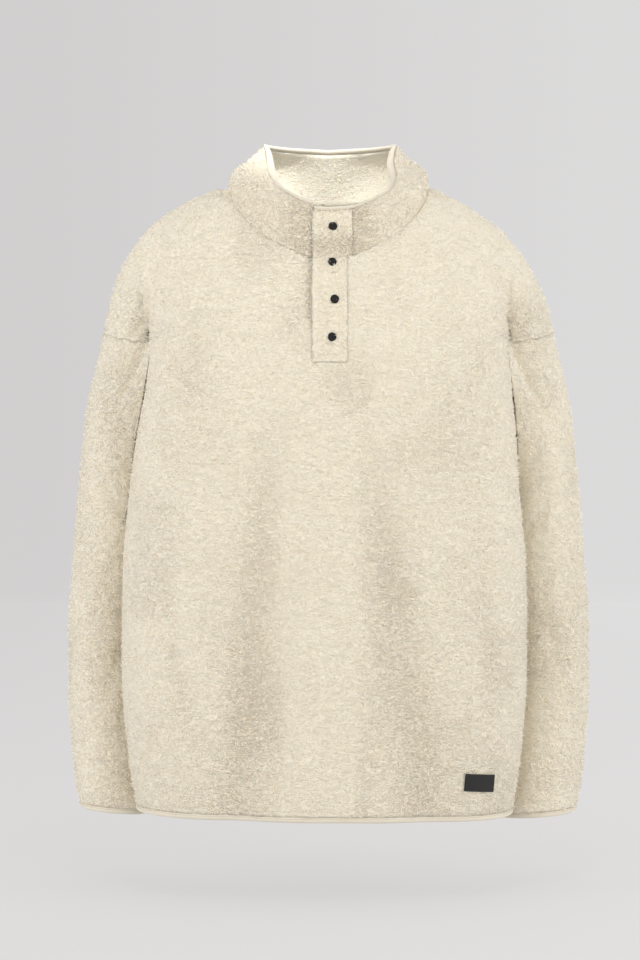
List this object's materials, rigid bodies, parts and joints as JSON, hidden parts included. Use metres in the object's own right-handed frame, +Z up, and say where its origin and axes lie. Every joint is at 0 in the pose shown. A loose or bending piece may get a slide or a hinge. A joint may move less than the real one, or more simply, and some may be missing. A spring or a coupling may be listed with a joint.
{
  "type": "sherpa fleece pullover",
  "caption": "Sherpa fleece pullover with stand collar, snap half placket and drop-shoulder sleeves, filled out as worn.",
  "frame": {"origin": "midway between the two points where the shoulder seams meet the neck seam, where the wearer's neck and shoulders carry the garment", "axes": "+Z up, +Y towards the wearer's back, +X towards the wearer's left"},
  "size_m": [0.607, 0.2809, 0.7782],
  "materials": {
    "fleece": "cream high-pile sherpa fleece, soft matt nap",
    "binding": "smooth grey-beige stretch binding",
    "snap": "black satin",
    "label": "black woven label, blank"
  },
  "bodies": {
    "root": {"front": "fleece", "back": "fleece", "sleeve_left": "fleece", "sleeve_right": "fleece", "collar": "fleece", "placket_upper": "fleece", "placket_under": "fleece", "collar_binding": "binding", "hem_binding": "binding", "cuff_binding_left": "binding", "cuff_binding_right": "binding", "snap_1": "snap", "snap_2": "snap", "snap_3": "snap", "snap_4": "snap", "label": "label"}
  },
  "joints": []
}
